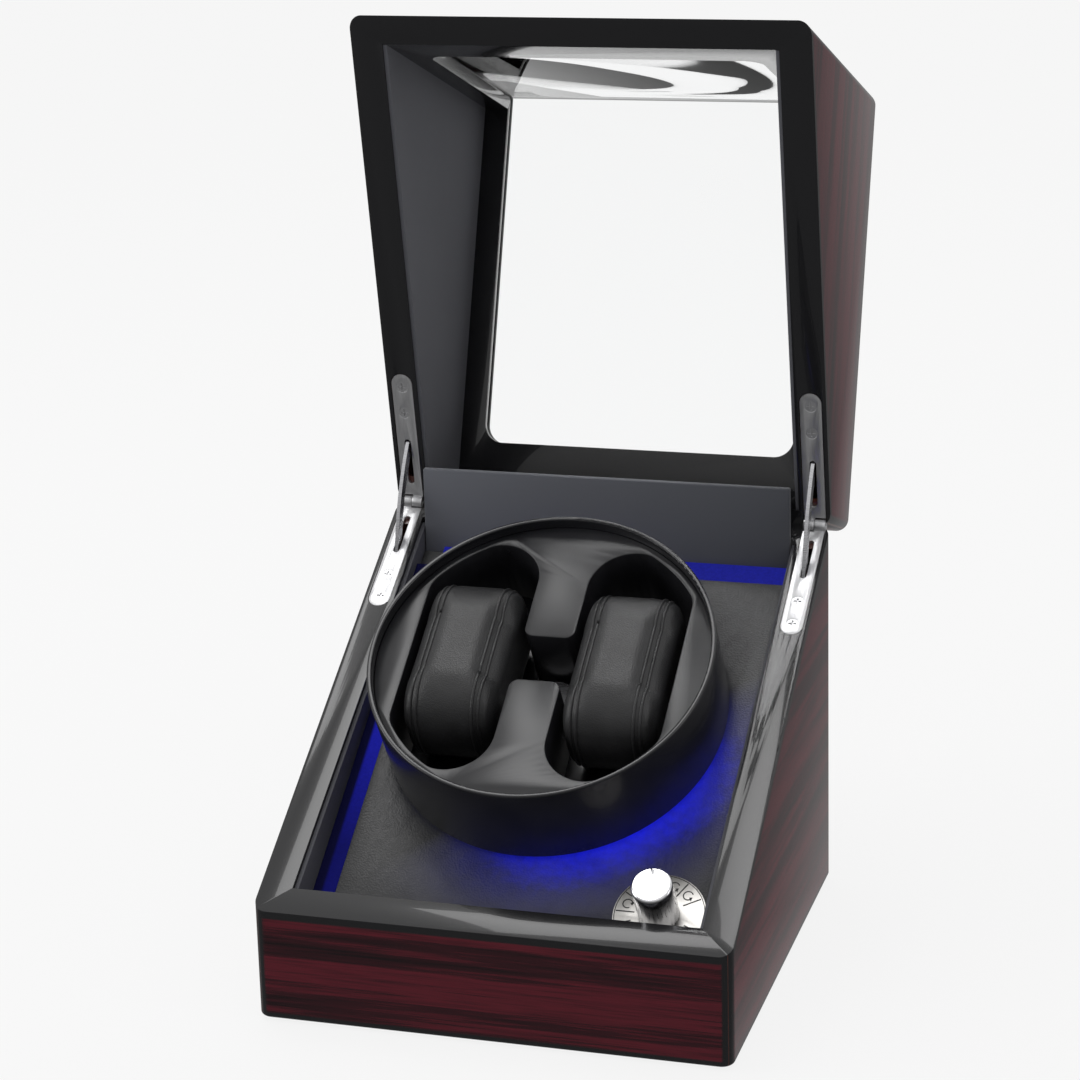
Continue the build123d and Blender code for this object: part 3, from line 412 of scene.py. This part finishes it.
felt = plain("black_felt", (0.02, 0.02, 0.022), 0.95, grain=(3000, 3000, 3000), bump=0.5)
raw_board = plain("raw_board", (0.3, 0.2, 0.12), 0.8, grain=(400, 900, 900), bump=0.2, wear=0.3)
ink = plain("dial_ink", (0.01, 0.01, 0.01), 0.5)
deck_leather = leather("deck_leather", (0.03, 0.03, 0.0315), 1300.0, glow=True)
cushion_leather = leather("cushion_leather", (0.022, 0.022, 0.023), 1900.0, 0.36)
# Painted light: the left bar glows in place of lit wall cloth, dimmed towards its ends and left of shade_x
# as painted shade.
left_light = light(
    "left_light", (0.008, 0.01, 0.3), 1.0, tuple(DECK_UP),
    span=(-0.01, 0.14), ends=(0.3, 0.12), shade_x=-0.0722,
)

paint("base_felt", felt)
paint("base_lining lid_lining", velvet)
paint("lip_board", lip_grey())
paint("base_floor deck_board", raw_board)
# Painted shade: the deck battens take the black plastic so that they read as the dark at the deck's
# back-left corner; the switch, jack and board parts are black plastic.
paint("deck_battens selector_switch power_jack board_parts", black_plastic)
paint("deck_cover", deck_leather)
paint("light_ring", light("ring_light", (0.01, 0.015, 0.6), 3.0))
# The two light bars glow as painted light, standing in for the wall cloth lit blue by the LEDs under the
# deck.
paint("light_bar_left", left_light)
paint("light_bar_back", light("back_light", (0.01, 0.013, 0.24), 1.0))
paint("rotor_shell", gloss_black)
paint("rotor_face", face_black)
paint("mode_knob", chrome)
paint("base_hinge_leaves lid_hinge_leaves base_hinge_screws lid_hinge_screws", leaf_metal)
paint("dial_plate", dial_metal)
paint("stay_left stay_right hinge_pins rotor_hub hub_screw rotor_shaft", steel)
paint("motor motor_bracket bracket_posts bracket_screws motor_screws motor_shaft", steel)
paint("selector_nut selector_shaft jack_nut board_screws", steel)
paint("thrust_washer rotor_gear board_spacers", white_plastic)
paint("shaft_bush pinion", brass)
paint("controller_board", green_board)
paint("lid_pane", clear_acrylic())

# ------------------------------------------------------------------ edges
# Radius of the small rounding on the edges of each piece that has one, in mm.
ROUNDED = {name: 0.7 for name in nodes if name.endswith("_panel")}
ROUNDED.update(rotor_face=0.4, lip_board=0.5, deck_cover=0.3, dial_plate=0.15, mode_knob=0.2)
ROUNDED.update(base_hinge_leaves=0.12, lid_hinge_leaves=0.12, lid_pane=0.15)
FLAT_WITHIN = radians(0.6)
SHARP_OVER = radians(35)
SPLIT_OVER = radians(32)
for name, obj in nodes.items():
    weld = obj.modifiers.new("weld", "WELD")
    weld.merge_threshold = 0.01 * MM
    obj.data.shade_smooth()
    if name in ROUNDED:
        flat = obj.modifiers.new("flat", "DECIMATE")
        flat.decimate_type = "DISSOLVE"
        flat.angle_limit = FLAT_WITHIN
        edge = obj.modifiers.new("edge", "BEVEL")
        edge.width = ROUNDED[name] * MM
        edge.segments = 2
        edge.limit_method = "ANGLE"
        edge.angle_limit = SHARP_OVER
        edge.harden_normals = True
    else:
        split = obj.modifiers.new("split", "EDGE_SPLIT")
        split.split_angle = SPLIT_OVER


# ------------------------------------------------------------------ cushions
def link(obj):
    """Adds an object to the scene and hands it back."""
    bpy.context.scene.collection.objects.link(obj)
    return obj


def outline_mesh(name, build):
    """A linked object whose mesh is filled by the function build."""
    mesh = bpy.data.meshes.new(name)
    bm = bmesh.new()
    build(bm)
    bm.normal_update()
    bm.to_mesh(mesh)
    bm.free()
    return link(bpy.data.objects.new(name, mesh))


# Cushion sizes across, along and off the deck, in mm; the cloth runs ten times enlarged.
PILLOW = Vector((36.0, 74.5, 40.5))
PILLOW_X = 31
PILLOW_W = 4.6 + PILLOW.z / 2
BLANK_SHARE = 0.93
BLANK_ROUND = 15.5 * MM
BLANK_EDGE = 5 * MM
SIM_SCALE = 10.0
VOXEL = 1.8 * MM * SIM_SCALE
PRESSURE = 4.0
CLOTH_FRAMES = 18
SWELL = 2.6 * MM * SIM_SCALE
SEAMS = (-13.2, -10.9, 10.9, 13.2)
SEAM_DEPTH = 0.7 * MM
SEAM_SPREAD = 1.1
PIPING_R = 0.62 * MM
PIPING_PROUD = 0.1 * MM
PIPING_POINTS = 72


def pillow_blank(bm):
    """A block rounded along its length, then along the edges of its two flat sides."""
    bmesh.ops.create_cube(bm, size=1.0)
    bmesh.ops.scale(bm, vec=PILLOW * MM * BLANK_SHARE, verts=bm.verts)
    corners = [e for e in bm.edges if abs(e.verts[0].co.x - e.verts[1].co.x) > MM]
    bmesh.ops.bevel(bm, geom=corners, offset=BLANK_ROUND, segments=6, profile=0.5, affect="EDGES")
    side_x = PILLOW.x * MM * BLANK_SHARE / 2
    rims = []
    for edge in bm.edges:
        first, second = (v.co.x for v in edge.verts)
        if abs(abs(first) - side_x) < 0.01 * MM and abs(first - second) < 0.001 * MM:
            rims.append(edge)
    bmesh.ops.bevel(bm, geom=rims, offset=BLANK_EDGE, segments=4, profile=0.5, affect="EDGES")


def swell(obj):
    """Cloth pressure swells the skin, by no more than SWELL at any point."""
    start = [v.co.copy() for v in obj.data.vertices]
    cloth = obj.modifiers.new("cloth", "CLOTH")
    cloth.settings.use_pressure = True
    cloth.settings.uniform_pressure_force = PRESSURE
    cloth.settings.effector_weights.gravity = 0.0
    cloth.settings.quality = 6
    for step in range(1, CLOTH_FRAMES + 1):
        bpy.context.scene.frame_set(step)
    bpy.ops.object.modifier_apply(modifier="cloth")
    bpy.context.scene.frame_set(1)
    for vertex, before in zip(obj.data.vertices, start):
        move = vertex.co - before
        if move.length > SWELL:
            vertex.co = before + move.normalized() * SWELL


def crease_seams(obj):
    """Back to real size, drawn in along each seam and held inside the cushion's size."""
    half = PILLOW * MM / 2
    for vertex in obj.data.vertices:
        co = vertex.co / SIM_SCALE
        crease = 0.0
        for seam in SEAMS:
            crease += SEAM_DEPTH * exp(-(((co.x / MM) - seam) / SEAM_SPREAD) ** 2)
        radial = Vector((0, co.y, co.z))
        if radial.length > 0:
            co = co - radial.normalized() * crease
        for axis in range(3):
            co[axis] = max(-half[axis], min(half[axis], co[axis]))
        vertex.co = co


def pillow(name, side, node):
    """A stuffed leather cushion: swollen by cloth pressure, creased at its seams."""
    obj = outline_mesh(name, pillow_blank)
    obj.scale = (SIM_SCALE,) * 3
    bpy.context.view_layer.objects.active = obj
    bpy.ops.object.select_all(action="DESELECT")
    obj.select_set(True)
    bpy.ops.object.transform_apply(location=False, rotation=False, scale=True)
    remesh = obj.modifiers.new("remesh", "REMESH")
    remesh.mode = "VOXEL"
    remesh.voxel_size = VOXEL
    bpy.ops.object.modifier_apply(modifier="remesh")
    swell(obj)
    crease_seams(obj)
    smooth = obj.modifiers.new("smooth", "SMOOTH")
    smooth.iterations = 3
    bpy.ops.object.modifier_apply(modifier="smooth")
    turn = Matrix((DECK_X, DECK_UP, DECK_N)).transposed().to_4x4()
    place = Matrix.Translation(on_deck(side * PILLOW_X, 0, PILLOW_W)) @ turn
    piping = []
    for number, seam in enumerate(SEAMS):
        piping.append(seam_tube(obj, f"{name}_seam_{number + 1}", seam * MM, place))
    obj.data.transform(place)
    subdivide = obj.modifiers.new("subdivide", "SUBSURF")
    subdivide.levels = 1
    subdivide.render_levels = 1
    obj.data.shade_smooth()
    for piece in (obj, *piping):
        piece.data.materials.append(cushion_leather)
        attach(piece, "rotor")
    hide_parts(node)


def seam_tube(obj, name, x, place):
    """Piping that follows the cushion's own surface at one x."""
    bm = bmesh.new()
    bm.from_mesh(obj.data)
    cut = bmesh.ops.bisect_plane(
        bm, geom=bm.verts[:] + bm.edges[:] + bm.faces[:], plane_co=(x, 0, 0), plane_no=(1, 0, 0)
    )
    points = [g.co.copy() for g in cut["geom_cut"] if isinstance(g, bmesh.types.BMVert)]
    bm.free()
    points.sort(key=lambda p: atan2(p.z, p.y))
    step = max(1, len(points) // PIPING_POINTS)
    points = points[::step]
    curve = bpy.data.curves.new(name, "CURVE")
    curve.dimensions = "3D"
    curve.bevel_depth = PIPING_R
    curve.bevel_resolution = 2
    spline = curve.splines.new("POLY")
    spline.points.add(len(points) - 1)
    for target, point in zip(spline.points, points):
        out = Vector((0, point.y, point.z)).normalized() * PIPING_PROUD
        target.co = (*(place @ (point + out)), 1.0)
    spline.use_cyclic_u = True
    return link(bpy.data.objects.new(name, curve))


pillow("cushion_soft_left", -1, "cushion_left")
pillow("cushion_soft_right", 1, "cushion_right")

# ------------------------------------------------------------------ dial print
# Everything printed on the dial, in mm and degrees about the knob.
KNOB = (57.2, -84.6)
DIAL_FACE = 1.0
PRINT_T = 0.06
DIVIDERS = (30, 60, 90, 120, 150, 180)
DIVIDER_R = (9.2, 16.2)
MODES = (45, 75, 105, 135, 165)
OFF_MODE = 2
SIGN_R = 12.8
RIM_R = 16.6
LINE_W = 0.45
BOLD_W = 0.5
ARROW_R = 1.8
ARROW_ENDS = (20, 300)
ARROW_HEAD = 1.3
SCALE_START = 200
SCALE_STEP = 17.5
SCALE_MARKS = 9
SCALE_IN = 10.5
SCALE_LONG = 15.2
SCALE_SHORT = 13.5


def polar(radius, angle, centre=KNOB):
    return centre[0] + radius * cos(radians(angle)), centre[1] + radius * sin(radians(angle))


def printed(bm, spots):
    return [bm.verts.new(on_deck(*spot, DIAL_FACE + PRINT_T)) for spot in spots]


def ring_part(bm, radius, width, start, end, centre=KNOB, steps=24):
    """A flat arc band."""
    rows = []
    for step in range(steps + 1):
        angle = start + (end - start) * step / steps
        rows.append(printed(bm, [polar(r, angle, centre) for r in (radius - width / 2, radius + width / 2)]))
    for a, b in zip(rows, rows[1:]):
        bm.faces.new((a[0], a[1], b[1], b[0]))


def tick(bm, angle, r_in, r_out, width):
    """A straight stroke that points at the knob."""
    turn = radians(angle)
    along = Vector((cos(turn), sin(turn)))
    side = Vector((-along.y, along.x)) * width / 2
    corners = ((r_in, -1), (r_out, -1), (r_out, 1), (r_in, 1))
    bm.faces.new(printed(bm, [Vector(KNOB) + along * r + side * sign for r, sign in corners]))


def arrow_head(bm, centre, angle, way):
    """A triangle on the end of a circular arrow."""
    tip = angle + way * degrees(ARROW_HEAD / ARROW_R)
    spread = ARROW_HEAD * 0.7
    corners = ((ARROW_R - spread, angle), (ARROW_R + spread, angle), (ARROW_R, tip))
    bm.faces.new(printed(bm, [polar(r, turn, centre) for r, turn in corners]))


def dial_print(bm):
    for angle in DIVIDERS:
        tick(bm, angle, *DIVIDER_R, BOLD_W)
    for number, angle in enumerate(MODES):
        centre = polar(SIGN_R, angle)
        if number == OFF_MODE:
            ring_part(bm, 1.3, BOLD_W, 0, 360, centre)
            continue
        ring_part(bm, ARROW_R, LINE_W, *ARROW_ENDS, centre)
        if number < OFF_MODE:
            arrow_head(bm, centre, ARROW_ENDS[1], 1)
        else:
            arrow_head(bm, centre, ARROW_ENDS[0], -1)
    ring_part(bm, RIM_R, 0.3, 0, 360, steps=72)
    for number in range(SCALE_MARKS):
        outer = SCALE_SHORT if number % 2 else SCALE_LONG
        tick(bm, SCALE_START + number * SCALE_STEP, SCALE_IN, outer, LINE_W)


dial = outline_mesh("dial_print", dial_print)
dial.data.materials.append(ink)
thick = dial.modifiers.new("thick", "SOLIDIFY")
thick.thickness = PRINT_T * MM
thick.offset = -1
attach(dial, "base")

# ------------------------------------------------------------------ stage, camera, light
FLOOR = 3.0
FLOOR_DROP = 0.3 * MM
FLOOR_GLOW = 0.86
BACKDROP = 0.915

stage_mesh = bpy.data.meshes.new("studio_floor")
corners = [(x * FLOOR, y * FLOOR, -FLOOR_DROP) for x, y in ((-1, -1), (1, -1), (1, 1), (-1, 1))]
stage_mesh.from_pydata(corners, [], [(0, 1, 2, 3)])
floor = link(bpy.data.objects.new("studio_floor", stage_mesh))
paper = Tree("studio_paper")
paper.put(Base_Color=(0.06, 0.06, 0.06, 1), Roughness=1.0, Specular_IOR_Level=0.1)
paper.put(Emission_Color=(1, 1, 1, 1), Emission_Strength=FLOOR_GLOW)
floor.data.materials.append(paper.mat)
floor.visible_glossy = False

world = bpy.data.worlds.new("studio")
bpy.context.scene.world = world
world.use_nodes = True
sky = world.node_tree
backdrop = sky.nodes["Background"]
backdrop.inputs["Color"].default_value = (1, 1, 1, 1)


def sky_node(kind, **values):
    node = sky.nodes.new(kind)
    for key, value in values.items():
        setattr(node, key, value)
    return node


def sky_level(socket, from_range, to_range):
    """Brightness that changes with one component of the sky's direction."""
    node = sky_node("ShaderNodeMapRange")
    for end, start_value, level in zip(("Min", "Max"), from_range, to_range):
        node.inputs["From " + end].default_value = start_value
        node.inputs["To " + end].default_value = level
    sky.links.new(socket, node.inputs["Value"])
    return node.outputs["Result"]


# The camera sees a plain white backdrop; the rest sees a dim studio, brighter overhead and behind.
direction = sky_node("ShaderNodeTexCoord")
split = sky_node("ShaderNodeSeparateXYZ")
sky.links.new(direction.outputs["Generated"], split.inputs[0])
studio = sky_node("ShaderNodeMath", operation="ADD")
sky.links.new(sky_level(split.outputs["Z"], (-0.1, 0.95), (0.14, 0.95)), studio.inputs[0])
sky.links.new(sky_level(split.outputs["Y"], (0.0, 0.9), (0.0, 0.16)), studio.inputs[1])
seen = sky_node("ShaderNodeLightPath")
choose = sky_node("ShaderNodeMix", data_type="FLOAT")
sky.links.new(seen.outputs["Is Camera Ray"], choose.inputs["Factor"])
sky.links.new(studio.outputs[0], choose.inputs["A"])
choose.inputs["B"].default_value = BACKDROP
sky.links.new(choose.outputs["Result"], backdrop.inputs["Strength"])


def softbox(name, place, target, size, power):
    """A rectangular lamp that faces the target."""
    lamp = bpy.data.lights.new(name, "AREA")
    lamp.shape = "RECTANGLE"
    lamp.size = size[0]
    lamp.size_y = size[1]
    lamp.energy = power
    box = link(bpy.data.objects.new(name, lamp))
    box.location = place
    box.rotation_euler = (Vector(target) - Vector(place)).to_track_quat("-Z", "Y").to_euler()


softbox("soft_top", (-0.3, 0.35, 1.5), (0, 0, 0.1), (0.9, 0.9), 9)
softbox("soft_left", (-1.3, -0.5, 0.7), (0, 0, 0.12), (0.6, 1.0), 6)
softbox("soft_right", (1.4, -0.2, 0.6), (0, 0, 0.12), (0.4, 1.0), 2)

# Camera fitted to the box's straight edges.
CAMERA_PLACE = Vector((0.316, -1.0599, 0.5085))
CAMERA_AHEAD = Vector((-0.2882, 0.9189, -0.2693))
CAMERA_RIGHT = Vector((0.9562, 0.2913, -0.0293))

camera_data = bpy.data.cameras.new("camera")
camera = link(bpy.data.objects.new("camera", camera_data))
camera_data.sensor_width = 36
camera_data.lens = 102.98
camera_data.shift_x = 0.0347
camera_data.shift_y = -0.0819
camera_data.clip_end = 50
ahead = CAMERA_AHEAD.normalized()
right = (CAMERA_RIGHT - ahead * CAMERA_RIGHT.dot(ahead)).normalized()
up = right.cross(ahead)
look = Matrix((right, up, -ahead)).transposed().to_4x4()
camera.matrix_world = Matrix.Translation(CAMERA_PLACE) @ look
bpy.context.scene.camera = camera
bpy.context.scene.view_settings.view_transform = "Standard"
